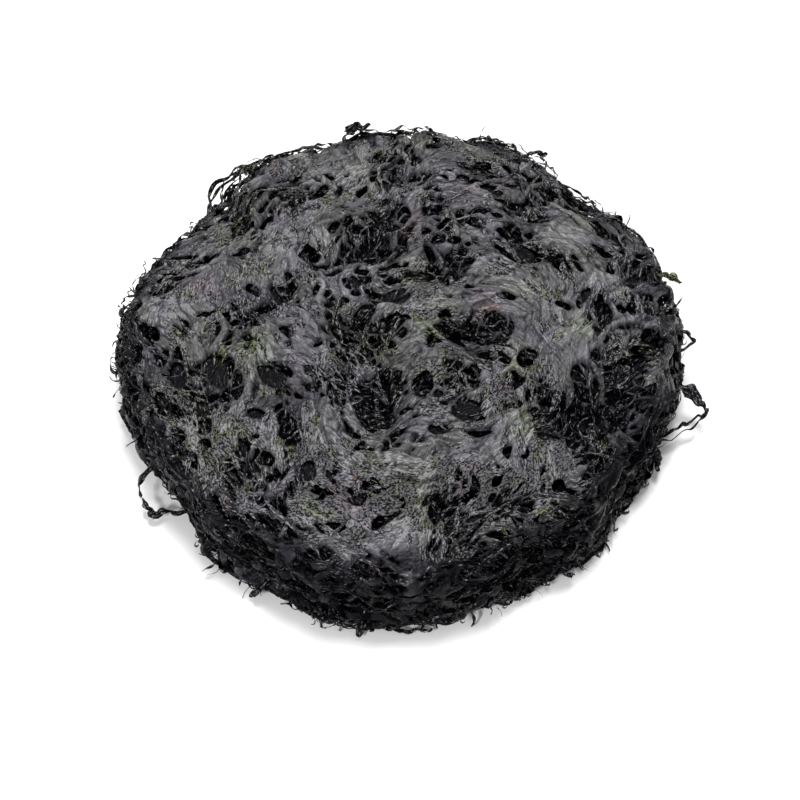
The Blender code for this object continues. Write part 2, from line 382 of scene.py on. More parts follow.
FELTED = (
    (-70, 30, 24, 16, 35, 1.4), (-60, 50, 30, 12, 30, 1.1), (42, -36, 26, 10, 30, 1),
    (5, -36, 7, 24, 5, 0.9), (-32, -62, 24, 12, -15, 1), (28, -72, 32, 12, 5, 1), (6, 22, 8, 9, 0, 1),
    (-3, 72, 24, 9, 0, 0.8), (16, 98, 16, 8, 0, 0.7), (-86, -2, 16, 8, 0, 1), (55, 6, 22, 12, -40, 0.6),
    (78, 16, 16, 18, 0, 0.6), (-28, 14, 10, 10, 60, 0.7), (-68, -60, 16, 10, -30, 0.6),
    (62, -74, 20, 10, 20, 0.7), (-16, -92, 30, 8, 0, 0.7), (46, 42, 10, 8, 30, 0.6),
    (32, 66, 18, 5, 10, 0.7),
)
# The larger holes that are torn right through to the dark inside, and below them the bowls, without amount
RENTS = (
    (69, -43, 9, 5, 0), (73, -53, 7.5, 4.2, 10), (84, -46, 7.5, 6, 0), (95, -33, 4.5, 7, -20),
    (87, -67, 6, 4.2, 20), (62, -49, 3.5, 6, 0), (80, -36, 5, 3, 20), (93, -53, 3.5, 5, 0),
    (-7, -34, 3, 3.6, 0), (-14, -40, 6.2, 2.4, 72), (-6, -46, 7, 2.4, 86), (-14, -53, 5, 2.8, 80),
    (-3, -57, 4.2, 1.8, 80), (13, 28, 5, 3.4, 60), (21, 25, 5.2, 3.2, 80), (27, 17, 4.2, 2.8, 0),
    (22, 9, 3.6, 3.2, 0), (24, -6, 8.5, 3.8, -20), (18, 0, 3.4, 2.6, 0), (32, -12, 4, 2.2, 20),
    (-21, 13, 2.8, 3, 0), (0, 27.5, 2.7, 2.4, 0), (-15, 39, 3.6, 3, 0), (-9, 43, 4.2, 2.8, 70),
    (-26, 40, 3.4, 2.6, 0), (-37, 33, 4.4, 2.4, 40), (-30, 26, 4.2, 2, 10), (-18, 49, 4, 1.6, 10),
    (-5, 50, 5.2, 2, 10), (45, 41, 4.2, 2.8, 0), (47, 50.5, 6, 1.8, -10), (41, 73, 4.2, 3.6, 0),
    (52, 67, 5.5, 2.2, 20), (29, 82, 3.4, 2.8, 0), (35, 79, 4.2, 2.6, 40), (39, 94, 4.4, 2.8, 0),
    (26, 58, 5, 2, 80), (34, 60, 4.2, 2, 10), (-55, 9, 6, 3.4, 40), (-62, 5, 4.2, 2.2, 30),
    (-51, 17, 3.2, 2.6, 0), (-52, -28, 6.5, 2.4, -35), (-59, -49, 4.5, 2.4, -20), (-95, -46, 3.4, 2.8, 0),
    (-113, -13, 6, 2.4, 88), (-109, -2, 4, 2, 88), (-51, 86, 6, 2.8, 25), (-76, 62, 5.5, 1.5, 30),
    (-90, 34, 8, 2.2, 40), (-63, 67, 4.2, 1.5, 30), (82, 70, 7, 3.2, -10), (78, 81, 4.2, 2.6, 0),
    (89, 56, 6, 2.4, 80), (108, -7, 5.2, 4.6, 60), (102, -20, 4, 3.4, 40), (-24, -10, 7, 3, -20),
    (-16, -4, 4, 2.4, 0), (-34, -16, 3.4, 2, 0), (-4, -4, 6, 2, 0), (36, -19, 4.2, 2.8, 0),
    (29, -28, 3.2, 2.6, 0), (43, -24, 4.2, 2.6, 80), (16, -89, 6.5, 3, -20), (-48, -93, 4.2, 2.6, -20),
    (-69, -74, 5.2, 2.6, -20), (-56, -71, 4.2, 2.4, -20), (-95, -56, 4.2, 2.8, -50), (32, -59, 5.2, 1.4, 0),
    (63, -82, 3.2, 2.6, 0), (69, 8, 3.6, 2.2, 0), (44, 9, 3.4, 2.6, 0), (-31, -86, 5, 2, -5),
    (-82, -63, 4.2, 2.6, -40), (7, 84, 5, 1.8, 10), (-19, 76, 4.2, 2, 60), (69, 32, 3, 4, 10),
    (99, 9, 3.4, 4, 0), (-83, 2, 4, 1.6, 20), (19, 64, 4, 1.6, 20),
)
# Bowls with a smooth skin at the bottom
BOWLS = (
    (-2, 12.5, 6.2, 5, -15), (54, 39, 6.2, 6.6, 0), (27, -48, 7.5, 5.6, 10), (15, -57, 5, 2.8, 0),
    (-55, -30, 8.5, 4.2, -35), (-79, -25, 4.5, 8.5, 10), (102, 26, 4.5, 5, 0), (-96, -26, 3.8, 7.5, 0),
    (-60, -50, 5, 2.6, -30), (43, 73, 4, 3, 10),
)
# Where the leaves are crumpled and glitter: real relief and shine, and also painted highlight, as a lighter
# tint and more bright grain specks
SPARKLING = (
    (0, -88, 70, 15, 0, 1.4), (-90, -46, 12, 36, 30, 0.9), (46, -42, 22, 9, 30, 1), (7, 21, 9, 9, 0, 1),
    (-46, -64, 18, 10, -30, 0.9), (63, -72, 16, 9, 30, 0.8), (19, -32, 14, 8, 0, 0.8),
    (-4, 78, 24, 9, 0, 0.6), (-24, -34, 10, 12, 0, 0.6),
)
# Where the leaves are greenish (amount below zero) or reddish (above)
TINGED = (
    (-15, -5, 16, 8, 20, -0.9), (15, -26, 16, 9, 0, -0.7), (8, 15, 12, 8, 0, -0.5),
    (46, -64, 24, 5, 10, -1), (12, -88, 8, 4, 0, -1.2), (-2, 82, 24, 10, 0, -0.6),
    (-86, 80, 16, 10, 40, -1), (50, 52, 16, 6, -20, -0.5), (80, 70, 15, 10, -40, -0.6),
    (-60, -10, 16, 8, 0, -0.4), (36, 4, 7, 9, 0, 1.1), (22, -16, 9, 5, 0, 0.9), (33, -33, 16, 7, -30, 0.5),
    (-46, 65, 12, 6, 20, 0.5), (26, -56, 12, 5, -20, 0.7), (-24, 24, 8, 5, 0, 0.6), (-92, 22, 8, 6, 0, 0.6),
    (-56, 39, 10, 5, 40, 0.5),
)

# Strands of one web: (count, (shortest, longest), size, height), in millimetres
STRANDS = ((420, (20, 100), 1.15, 0.75), (1300, (10, 50), 0.62, 0.55), (3600, (5, 20), 0.34, 0.38))
SIDE_START, SIDE_FULL = 0.107, 0.124  # where, along the skin, the top's look gives way to the side's
SIDE_LEAN = 0.001  # by how much sooner this happens at the front, and later at the back
SINK = 0.9  # how far the upper sheet is sunk, in millimetres, so that its leaves end at the CAD surface
LOWER, INNER, FLOOR = -2.5, -5.4, -8.6  # how high the sheets under the upper one lie, in millimetres
BOWL_FLOOR = -2.4  # how high the smooth skins in the bowls lie
FUNNEL = 1.8  # how far a sheet dips at the edges of its holes, in millimetres
BOWL_EDGE = 0.42  # the share of a bowl's patch from which on the upper sheet is open
TOP_LIGHT, SIDE_DARK_AND_SHADE = 0.73, 0.70  # how light the upper sheet is on top, and how much darker it is painted at the side: partly the side's own darker leaves, partly painted shade of the deep gaps between its layers


def web(random, flow, where, share, scale=1.0):
    """One layer of crossing strands: its fullness, the ridges of each size, and its fibres' direction."""
    fullness, cosine, sine = (0 * ONES for _ in range(3))
    heights = []
    for count, lengths, size, height in STRANDS:
        found = ridges(random, flow, where, int(count * share), lengths, size * scale)
        heights.append(found[0] * height)
        fullness += height * np.minimum(found[0], 1.6)
        cosine += found[1] * height
        sine += found[2] * height
    direction = np.arctan2(np.sin(2 * flow) * 0.8 + sine, np.cos(2 * flow) * 0.8 + cosine) / 2
    return fullness, heights, direction


def rim_shade(gap, reach):
    """1 at the edges of the holes and in them, less away from them."""
    return np.exp(np.minimum(gap, 0) / reach)


def layer(heights, gap, level, fibres, crisp=1):
    """Height in millimetres of one sheet: its strands, its fibres, and the way that it dips into its holes.
    crisp: how much of the finer strands and fibres shows."""
    coarse, middling, fine = heights
    height = level + 0.28 * coarse + crisp * (0.34 * middling + 0.34 * fine + 0.10 * fibres)
    return height - FUNNEL * rim_shade(gap, 0.45)


random = np.random.default_rng(11)
relief = cad_relief()
side = ease(MAP_REACH - SIDE_LEAN * np.sin(MAP_ANGLE), SIDE_START, SIDE_FULL)
# Above zero where the mat is felted shut, below zero where it is torn open
zone = (patches(FELTED) - patches(OPEN)) * (1 - side) + 0.55 * cloud(random, 7) - 0.7 * side
# The direction the fibres run in: round the cake, but any way in the middle of the top
wander = 0.55 * cloud(random, 17) + 0.35 * cloud(random, 7) + 0.15 * cloud(random, 3)
middle = 1 - ease(MAP_REACH, 0.012, 0.045)
round_way = MAP_ANGLE + math.pi / 2
free_way = 0.3 + 1.1 * cloud(random, 25)
flow = np.arctan2(
    np.sin(2 * round_way) * (1 - middle) + np.sin(2 * free_way) * middle,
    np.cos(2 * round_way) * (1 - middle) + np.cos(2 * free_way) * middle,
) / 2 + wander * (1 - 0.65 * side)

warp = [0.9 * cloud(random, 5) + 0.30 * cloud(random, 1.4) for _ in range(2)]
leaf_height, leaf_shadow, leaf_way, leaf_lot = leaves(random, flow, 3400, (8, 36), (0.10, 0.30), warp)
upper, upper_ridges, upper_way = web(random, leaf_way, np.clip(0.8 + 0.35 * zone, 0.25, 1), 1.0)
lower, lower_ridges, lower_way = web(random, flow, ONES, 0.9)
inner, inner_ridges, inner_way = web(random, flow, ONES, 0.8, 1.2)
# Broad smooth bands lie over the strands, and patches of crumpled leaves glitter between them, with real
# relief and shine and with painted highlight in their tint and grain.
band_way = flow + 0.7 * cloud(random, 14)
sparkling = patches(SPARKLING)
sparkle = np.clip(sparkling, 0, 1)
bands = ridges(random, band_way, ONES, 230, (15, 80), 1.3)[0] * (1 - 0.75 * sparkle)
band = ease(bands, 0.30, 0.75)
glitter = cloud(random, 3.6) + 0.9 * cloud(random, 1.5) + 1.3 * sparkling
glitter = ease(glitter, 0.3, 1.6) * (1 - 0.6 * band)
upper_fibres = combed(random, upper_way, 3.2, 0.28)
lower_fibres = combed(random, lower_way, 2.4, 0.30)
bowls = patches([(*bowl, 1) for bowl in BOWLS]) + 0.08 * cloud(random, 2.5)

sunk = relief - SINK - 1.2 * ease(-zone, 0.2, 1.6)
openness = 0.06 + 0.76 * ease(-zone, -0.5, 0.7)
draws = 2.2 + 3.0 * ease(MAP_REACH, 0.07, 0.11)
upper_hole, upper_lot = pits(random, flow, openness, 4800, (1.0, 6.6), draws, warp)
lower_hole, _ = pits(random, flow, 0.75 * ONES, 5200, (0.9, 4.8), draws, warp[::-1])
inner_hole, _ = pits(random, flow, 0.75 * ONES, 4200, (1.0, 5.0), draws, warp)

# Some holes, and all bowls, have a smooth skin across them, a little way down.
skinned = ease(upper_hole, -0.4, 0.1) * (upper_lot < 0.06) * (1 - 0.6 * side)
bowl = np.maximum(ease(bowls, 0.33, 0.45), skinned)

# A hole is open where no strand spans it. Slits open between the strands where the sheet is thin.
upper_thin = 0.18 - 0.30 * zone - upper - 0.5 * ease(leaf_height, 0.0, 0.3)
lower_thin = 0.25 - 0.10 * zone - lower
# The rents go through all sheets and narrow on the way down. The bowls' skins close the lower sheet.
rent = rents(RENTS, [1.2 * field for field in warp])
upper_gap = np.maximum(np.minimum(upper_hole, (1.4 - upper) * 2), upper_thin * 2)
upper_gap = np.minimum(upper_gap, (0.5 - bands) * 4)
upper_gap = np.maximum(upper_gap, np.minimum(rent, (1.1 - bands) * 4))
upper_gap = np.maximum(upper_gap, 3 * (bowls - BOWL_EDGE))
lower_gap = np.maximum(np.minimum(lower_hole, (1.2 - lower) * 2), lower_thin * 2)
lower_gap = np.maximum(lower_gap, np.minimum(rent - 0.7, (1.5 - lower) * 3))
lower_gap = np.minimum(lower_gap, 1 - 3 * bowl)
inner_gap = np.maximum(np.minimum(inner_hole, (1.3 - inner) * 2), rent - 1.6)

crisp = 0.28 + 0.55 * glitter
top_height = layer(upper_ridges, upper_gap, sunk + 0.9 * leaf_height + 0.7 * band, upper_fibres, crisp)
low_height = layer(lower_ridges, lower_gap, sunk + LOWER + 0.4 * cloud(random, 4), lower_fibres)
bowl_skin = smooth(sunk, 1.2) + BOWL_FLOOR + 0.25 * cloud(random, 2.5)
low_height = low_height * (1 - bowl) + bowl_skin * bowl
inner_level = sunk + INNER + 0.4 * cloud(random, 4)
inner_height = layer(inner_ridges, inner_gap, inner_level, lower_fibres[::-1])
floor_height = sunk + FLOOR + 0.8 * cloud(random, 2)

# What the material reads at each spot: how light it is, with painted shade and painted highlight in it, its
# hue (below zero greenish, above reddish), how strong its fine grain is, how rough it is, and how much it
# shines
blotch = cloud(random, 5)
speck = cloud(random, 0.45)
tinge = 0.34 * patches(TINGED) + 0.28 * cloud(random, 6) + 0.6 * (leaf_lot * 7 % 1 - 0.5)
tinge -= 0.25 * glitter
tinge = tinge * (1 - 0.6 * side) + 0.3 * side + 0.40 * glitter * cloud(random, 1.1)
# Painted shade: a thin dark line along the broad bands' edges, where a band would shade the felt beside it
band_contact_shade = np.exp(-(((bands - 0.18) / 0.08) ** 2))
# Painted shade: thin dark lines along the fibres, in place of the shaded gaps between leaf strips that lie
# side by side; they change the colour only, not the surface
crack_shade = ridges(np.random.default_rng(5), upper_way, ONES, 2000, (4, 22), 0.24)[0]

# Painted light and shade in the upper sheet's lightness: painted shadow along the leaves' edges, painted
# shade at the rims of the holes, along the bands' edges and in the crack lines, and painted highlight where
# the leaves glitter and sparkle; at the side it is darker, partly the side's own colour and partly painted
# shade
upper_tint = (
    TOP_LIGHT + (0.025 + 0.05 * glitter) * upper_fibres + 0.07 * glitter * speck + 0.045 * blotch
    + 0.04 * band + 0.19 * (leaf_lot - 0.5) * (1 - 0.6 * band) + 0.03 * glitter + 0.14 * sparkle
    + 0.14 * np.clip(zone, -1.3, 0) + 0.06 * np.clip(zone, 0, 0.6)
    - 0.22 * band_contact_shade - 0.17 * np.clip(crack_shade, 0, 1) * (1 - 0.5 * side) - 0.55 * leaf_shadow
    - 0.22 * rim_shade(upper_gap, 0.3) + (0.46 * ease(leaf_lot * 5 % 1, 0.6, 0.95) - SIDE_DARK_AND_SHADE) * side
)
# Painted shade: the sheets under the upper one are painted darker the deeper they lie, down to the floor
# sheet, which is painted black; the bowls' skins are painted dark, the rims of the holes darker, and the side
# darker (partly its own colour, partly painted shade)
lower_tint = (
    0.12 + 0.08 * lower_fibres + 0.05 * speck + 0.07 * blotch + 0.25 * (leaf_lot[::-1] - 0.5)
    - 0.22 * rim_shade(lower_gap, 0.4) - 0.18 * side
) * (1 - bowl) + (0.12 + 0.04 * lower_fibres) * bowl
inner_tint = 0.02 + 0.04 * lower_fibres[::-1] - 0.1 * side
leaf_grain = (0.25 + 1.35 * glitter + 0.40 * sparkle) * (0.7 + 0.6 * (leaf_lot * 13 % 1)) * (1 - 0.6 * side)
glossy = ease(leaf_lot * 17 % 1, 0.50, 0.65)
upper_shine = 0.24 + 0.2 * glitter - (0.22 - 0.20 * glossy) * side
lower_hue = (0.5 * tinge - 0.2) * (1 - side) - 0.2
LOOKS = {
    "upper": (upper_tint, tinge, leaf_grain, 0.34 - 0.24 * glossy, upper_shine),
    "lower": (lower_tint, lower_hue, 1 - 0.5 * bowl, 0.34 + 0.12 * bowl, 0.09 - 0.08 * side),
    "inner": (inner_tint, 0, 0.8, 0.45, 0.03),
    "floor": (0, 0, 0.4, 0.6, 0.02),
}


def hidden(gap):
    """Where a sheet covers everything round a spot, so that nothing under it can be seen."""
    return smooth((gap < 0).astype(float), 1.1) > 0.985


# The sheets of the mat, from the outermost in: name, height map, how far inside a hole each spot is,
# direction of the fibres, cells across the top, where it is hidden
under_upper = hidden(upper_gap)
under_lower = under_upper | hidden(lower_gap)
nowhere = ONES < 0
SHEETS = (
    ("upper", top_height, upper_gap, upper_way, 385, nowhere),
    ("lower", low_height, lower_gap, lower_way, 310, under_upper),
    ("inner", inner_height, inner_gap, inner_way, 200, under_lower),
    ("floor", floor_height, -ONES, flow, 70, nowhere),
)

# ---------------------------------------------------------------- meshes

TOP_WAY = 0.112  # how far out from the middle the square grid goes; rows of the side go on from there
ROW_STRETCH = 2.6  # length of a row's cells down the side, in cells of the top


def grid_ways(cells, reach):
    """(way, angle) of each vertex of a square grid that is bent into a disc."""
    line = np.linspace(-1, 1, cells + 1)
    x, y = np.meshgrid(line, line)
    wide = np.abs(x) > np.abs(y)
    safe_x, safe_y = np.where(x == 0, 1, x), np.where(y == 0, 1, y)
    distance = np.where(wide, x, y)
    angle = np.where(wide, math.pi / 4 * y / safe_x, math.pi / 2 - math.pi / 4 * x / safe_y)
    angle = np.where(distance < 0, angle + math.pi, angle)
    return (np.abs(distance) * reach).ravel(), angle.ravel()


def displaced(way, angle, height):
    """Points of the finished surface: a height map laid on along the bare surface's normal."""
    rise = read(height, *flat(way, angle)) * MM
    point = skin(way, angle) + skin_normal(way, angle) * rise[..., None]
    point[..., 2] = np.maximum(point[..., 2], 0.0002)
    return point


def add_mesh(name, points, triangles, values):
    """A smooth-shaded mesh with these values stored at its vertices for the material."""
    mesh = bpy.data.meshes.new(name)
    mesh.vertices.add(len(points))
    mesh.vertices.foreach_set("co", points.astype(np.float32).ravel())
    mesh.loops.add(triangles.size)
    mesh.loops.foreach_set("vertex_index", triangles.astype(np.int32).ravel())
    mesh.polygons.add(len(triangles))
    mesh.polygons.foreach_set("loop_start", np.arange(0, triangles.size, 3, dtype=np.int32))
    mesh.update(calc_edges=True)
    mesh.shade_smooth()
    for key, column in values.items():
        attribute = mesh.attributes.new(key, "FLOAT", "POINT")
        attribute.data.foreach_set("value", column.astype(np.float32).ravel())
    obj = bpy.data.objects.new(name, mesh)
    bpy.context.collection.objects.link(obj)
    return obj


def short_split(points, a, b, c, d):
    """Triangles of the quads a b c d, each cut along its shorter diagonal."""
    first = np.linalg.norm(points[a] - points[c], axis=-1)
    second = np.linalg.norm(points[b] - points[d], axis=-1)
    cut = (first <= second)[:, None]
    one = np.where(cut, np.stack([a, b, c], -1), np.stack([a, b, d], -1))
    two = np.where(cut, np.stack([a, c, d], -1), np.stack([b, c, d], -1))
    return np.concatenate([one, two])


def clipped(table, triangles, over):
    """Cuts a triangle mesh along the line where over is zero and keeps what lies above it.
    table holds one row of values for each vertex, and new vertices take theirs from the edge they lie on."""
    inside = over[triangles] > 0
    count = inside.sum(1)
    kept = [triangles[count == 3]]
    for wanted in (1, 2):
        some, mask = triangles[count == wanted], inside[count == wanted]
        odd = np.argmax(mask if wanted == 1 else ~mask, axis=1)
        rows = np.arange(len(some))
        lone, after, last = (some[rows, (odd + turn) % 3] for turn in range(3))
        ends = np.concatenate([np.stack([lone, after], -1), np.stack([lone, last], -1)])
        ends.sort(axis=1)
        code = ends[:, 0].astype(np.int64) * len(table) + ends[:, 1]
        unique, place = np.unique(code, return_inverse=True)
        low, high = unique // len(table), unique % len(table)
        share = (over[low] / (over[low] - over[high]))[:, None]
        first_new = len(table)
        table = np.concatenate([table, table[low] * (1 - share) + table[high] * share])
        over = np.concatenate([over, np.zeros(len(unique))])
        new_after, new_last = first_new + place[: len(some)], first_new + place[len(some) :]
        if wanted == 1:
            kept.append(np.stack([lone, new_after, new_last], -1))
        else:
            kept.append(np.stack([new_after, after, last], -1))
            kept.append(np.stack([new_after, last, new_last], -1))
    triangles = np.concatenate(kept)
    used, local = np.unique(triangles, return_inverse=True)
    return table[used], local.reshape(-1, 3)


VALUES = ("tint", "hue", "grain", "rough", "shine", "cosine", "sine", "map_x", "map_y")


def sheet_mesh(name, height, gap, direction, cells, covered):
    """One sheet as four pieces, a quarter of the cake each, with its holes cut out."""
    way, angle = grid_ways(cells, TOP_WAY)
    across = cells + 1
    index = np.arange(across**2).reshape(across, across)
    border = np.concatenate([index[0, :-1], index[:-1, -1], index[-1, :0:-1], index[:0:-1, 0]])
    side_rows = round((WAY_END - TOP_WAY) / (ROW_STRETCH * TOP_WAY / cells))
    rows_way = TOP_WAY + (WAY_END - TOP_WAY) * np.arange(1, side_rows + 1) / side_rows
    all_way = np.concatenate([way, np.repeat(rows_way, len(border))])
    all_angle = np.concatenate([angle, np.tile(angle[border], side_rows)])
    points = displaced(all_way, all_angle, height)
    side_rings = across**2 + np.arange(side_rows * len(border)).reshape(side_rows, -1)
    rings = np.concatenate([border[None, :], side_rings])
    beside = np.roll(rings, -1, axis=1)
    squares = (index[:-1, :-1], index[:-1, 1:], index[1:, 1:], index[1:, :-1])
    rows = (rings[:-1], rings[1:], beside[1:], beside[:-1])
    triangles = np.concatenate([
        short_split(points, *(corner.ravel() for corner in corners)) for corners in (squares, rows)
    ])
    x, y = flat(all_way, all_angle)
    seen = read((~covered).astype(float), x, y) > 0
    triangles = triangles[seen[triangles].any(1)]
    look = [read(part * ONES, x, y) for part in LOOKS[name]]
    run = [read(wave(2 * direction), x, y) for wave in (np.cos, np.sin)]
    table = np.concatenate([points, np.stack([*look, *run, x, y], -1)], -1)
    table, triangles = clipped(table, triangles, -read(gap, x, y))
    middles = table[triangles[:, 0]]
    quarter = np.floor(np.arctan2(middles[:, 1], middles[:, 0]) / (math.pi / 2)).astype(int) % 4
    made = []
    for number in range(4):
        used, local = np.unique(triangles[quarter == number], return_inverse=True)
        part = table[used]
        values = {key: part[:, 3 + place] for place, key in enumerate(VALUES)}
        made.append(add_mesh(f"laver_{name}_{number}", part[:, :3], local.reshape(-1, 3), values))
    return made


def underside():
    """The flat bottom: a felt like the top's, pressed against the ground it dried on."""
    cells = 180
    across = cells + 1
    way, angle = grid_ways(cells, 1.0)
    x, y = flat(way * outline(angle) * (1 - FOOT_TUCK) * 0.985, angle)
    hollow = np.clip(0.8 - read(top_height - relief, x, y), 0, 3.5) * (1 - way**8)
    points = np.stack([x, y, (0.2 + hollow) * MM], -1)
    index = np.arange(across**2).reshape(across, across)
    squares = (index[:-1, :-1], index[1:, :-1], index[1:, 1:], index[:-1, 1:])
    triangles = short_split(points, *(corner.ravel() for corner in squares))
    still = np.full(len(points), 0.5)
    # Painted shade: darker where the top has holes, over the hollows in the bottom; the upper sheet's painted
    # shade and highlight come along with its tint
    tint = read(0.75 * upper_tint - 0.6 * ease(upper_gap, -0.4, 0.2), x, y)
    look = (tint, read(tinge, x, y), read(leaf_grain, x, y), 0.9 * still, 0.3 * still)
    run = [read(wave(2 * upper_way), x, y) for wave in (np.cos, np.sin)]
    return add_mesh("laver_underside", points, triangles, dict(zip(VALUES, (*look, *run, x, y))))


# ---------------------------------------------------------------- strips: threads, leaves, wisps and fronds

def strips(name, centre, facing, width, cup, look, across=2):
    """One mesh of flat strips. centre and facing: (strip, step, xyz); width: (strip, step), in millimetres;
    cup: how far the strip's middle stands up, as a share of its width; look: tint, hue, grain, rough and
    shine, one for all or one for each strip or step; across: points from edge to edge."""
    count, steps = width.shape
    width = width * MM
    ahead = unit(np.gradient(centre, axis=1))
    beside = unit(np.cross(ahead, facing))
    raised = np.cross(beside, ahead)
    offset = np.linspace(-0.5, 0.5, across)
    bulge = (1 - (2 * offset) ** 2) * cup
    points = (
        centre[:, :, None]
        + beside[:, :, None] * (width[:, :, None] * offset)[..., None]
        + raised[:, :, None] * (width[:, :, None] * bulge)[..., None]
    )
    points[..., 2] = np.maximum(points[..., 2], 0.0003)
    index = np.arange(count * steps * across).reshape(count, steps, across)
    a, b = index[:, :-1, :-1].ravel(), index[:, 1:, :-1].ravel()
    c, d = index[:, 1:, 1:].ravel(), index[:, :-1, 1:].ravel()
    triangles = np.concatenate([np.stack([a, b, c], -1), np.stack([a, c, d], -1)])
    shape = (count, steps, across)
    length = np.linalg.norm(np.diff(centre, axis=1), axis=-1)
    length = np.concatenate([np.zeros((count, 1)), np.cumsum(length, axis=1)], axis=1)
    apart = 0.05 * np.arange(count)[:, None, None] % 7.3
    look = [(part + np.zeros((count, steps)))[..., None] for part in look]
    values = {key: np.broadcast_to(part, shape) for key, part in zip(VALUES, look)}
    values["cosine"], values["sine"] = np.ones(shape), np.zeros(shape)
    values["map_x"] = np.broadcast_to(length[:, :, None], shape) + apart
    values["map_y"] = width[:, :, None] * offset + apart
    return add_mesh(name, points.reshape(-1, 3), triangles, values)


def turned(facing, centre, angle):
    """Facings turned about the strips' own lengths."""
    beside = unit(np.cross(unit(np.gradient(centre, axis=1)), facing))
    return facing * np.cos(angle)[..., None] + beside * np.sin(angle)[..., None]


def wavering(random, count, steps, waves):
    """A smooth random value along each strip, with spread 1."""
    along = np.linspace(0, 1, steps)
    total = np.zeros((count, steps))
    for wave in range(1, waves + 1):
        size, start = random.normal(0, 1, (count, 1)), random.uniform(0, 2 * math.pi, (count, 1))
        total += size * np.sin(math.pi * wave * along + start)
    return total / math.sqrt(waves / 2)


def taper(steps, power=0.5, tip=0.12):
    return np.maximum(np.sin(math.pi * np.linspace(0, 1, steps)) ** power, tip)[None, :]


def lying(random, name, where, count, lengths, widths, depths, steps, across, cup, twist, wobble, look):
    """Strips that lie in the mat along its flow. where: share of strips kept at each spot; lengths, widths
    and depths (how far above the sheet's level they lie) in millimetres; look: (tint, its spread, share of it
    kept on the side, grain, rough, shine)."""
    rows, columns = random.uniform(0, MAP_CELLS, (2, 6 * count))
    on_cake = nearest(MAP_REACH, rows, columns) < WAY_END - 0.001
    kept = on_cake & (random.random(6 * count) < nearest(where, rows, columns))
    rows, columns = rows[kept][:count], columns[kept][:count]
    count = len(rows)
    length = log_spread(random, *lengths, count)
    all_rows, all_columns, _ = trace(random, flow, rows, columns, length, stray=0.45, wobble=wobble)
    place = (np.linspace(0, 1, steps)[:, None] * length * MM / MAP_STEP).astype(int)
    each = np.arange(count)
    x = (all_columns[place, each].T + 0.5) * MAP_STEP - MAP_HALF
    y = (all_rows[place, each].T + 0.5) * MAP_STEP - MAP_HALF
    way, angle = np.hypot(x, y), np.arctan2(y, x)
    way = np.minimum(way, WAY_END - 0.0005)
    x, y = flat(way, angle)
    normal = skin_normal(way, angle)
    ends = np.sin(math.pi * np.linspace(0, 1, steps))[None, :] ** 0.4
    depth = random.uniform(*depths, (count, 1)) + 0.35 * wavering(random, count, steps, 4)
    rise = read(strip_level, x, y) + depth - 1.3 * (1 - ends)
    centre = skin(way, angle) + normal * (rise * MM)[..., None]
    facing = turned(normal, centre, twist * wavering(random, count, steps, 3))
    width = random.uniform(*widths, (count, 1)) * taper(steps) * (1 + 0.2 * wavering(random, count, steps, 5))
    tint, spread, on_side, grain, rough, shine = look
    # Painted shade: strips are painted darker the deeper they lie under the sheet's level and on the side
    # (there partly the side's own colour); they are also darker where the mat is torn open
    light = (tint + spread * random.normal(0, 1, (count, 1))) * (1 - (1 - on_side) * read(side, x, y))
    light = light + 0.10 * np.minimum(depth, 0) + 0.10 * np.clip(read(zone, x, y), -1.3, 0)
    hue = read(tinge, x, y) + random.normal(0, 0.22, (count, 1))
    look = (light, hue, grain, rough, shine * (1 - 0.87 * read(side, x, y)))
    return strips(name, centre, facing, np.maximum(width, 0.1), cup, look, across)


def grown(random, name, count, angles, ways, lengths, widths, steps, curl, lift, look):
    """Wisps, tufts and bits that grow out of the cake and curl. angles: in degrees; ways: along the skin, in
    metres; lengths and widths: in millimetres; curl: in turns over their length; lift: how far they point
    up; look: (tint, its spread, hue, grain, rough, shine)."""
    angle = np.radians(random.uniform(*angles, count))
    way = random.uniform(*ways, count)
    normal = skin_normal(way, angle)
    around = np.stack([-np.sin(angle), np.cos(angle), 0 * angle], -1)
    up = np.array([0, 0, 1.0])
    start = skin(way, angle) + normal * (read(relief, *flat(way, angle)) * MM - 0.002)[:, None]
    heading = unit(
        normal * random.uniform(0.25, 1.0, (count, 1)) + around * random.normal(0, 0.9, (count, 1))
        + up * random.normal(lift, 0.35, (count, 1))
    )
    bend = unit(random.normal(0, 1, (count, 3))) * random.uniform(0, curl, (count, 1)) * 2 * math.pi / steps
    length = MM * log_spread(random, *lengths, count)[:, None]
    centre = np.empty((count, steps, 3))
    point = start
    for step in range(steps):
        centre[:, step] = point
        point = point + heading * length / steps
        point[:, 2] = np.maximum(point[:, 2], 0.0006)
        bend = bend + random.normal(0, 0.10, (count, 3))
        heading = unit(heading + np.cross(bend, heading))
    spin = random.uniform(0, math.pi, (count, 1)) + 0.6 * wavering(random, count, steps, 3)
    facing = turned(np.broadcast_to(up, centre.shape), centre, spin)
    shrink = 1 - 0.75 * np.linspace(0, 1, steps)[None, :] ** 1.5
    width = random.uniform(*widths, (count, 1)) * shrink * (1 + 0.3 * wavering(random, count, steps, 6))
    tint, spread, hue, grain, rough, shine = look
    light = tint + spread * random.normal(0, 1, (count, 1))
    look = (light, hue + random.normal(0, 0.5, (count, 1)), grain, rough, shine)
    return strips(name, centre, facing, np.maximum(width, 0.12), 0.15, look)


def rim_place(degrees, past_rim, height):
    angle = np.radians(degrees)
    return np.array([*flat(outline(angle) + past_rim, angle), height])


def smooth_path(points, steps):
    """Points along a smooth curve through the given ones (Catmull-Rom)."""
    ends = [2 * points[0] - points[1], *points, 2 * points[-1] - points[-2]]
    path = []
    for step in range(steps):
        along = step / (steps - 1) * (len(points) - 1)
        index = min(int(along), len(points) - 2)
        t = along - index
        a, b, c, d = ends[index : index + 4]
        cubic = (3 * b - a - 3 * c + d) * t**3
        square = (2 * a - 5 * b + 4 * c - d) * t**2
        path.append(0.5 * (2 * b + (c - a) * t + square + cubic))
    return np.array(path)


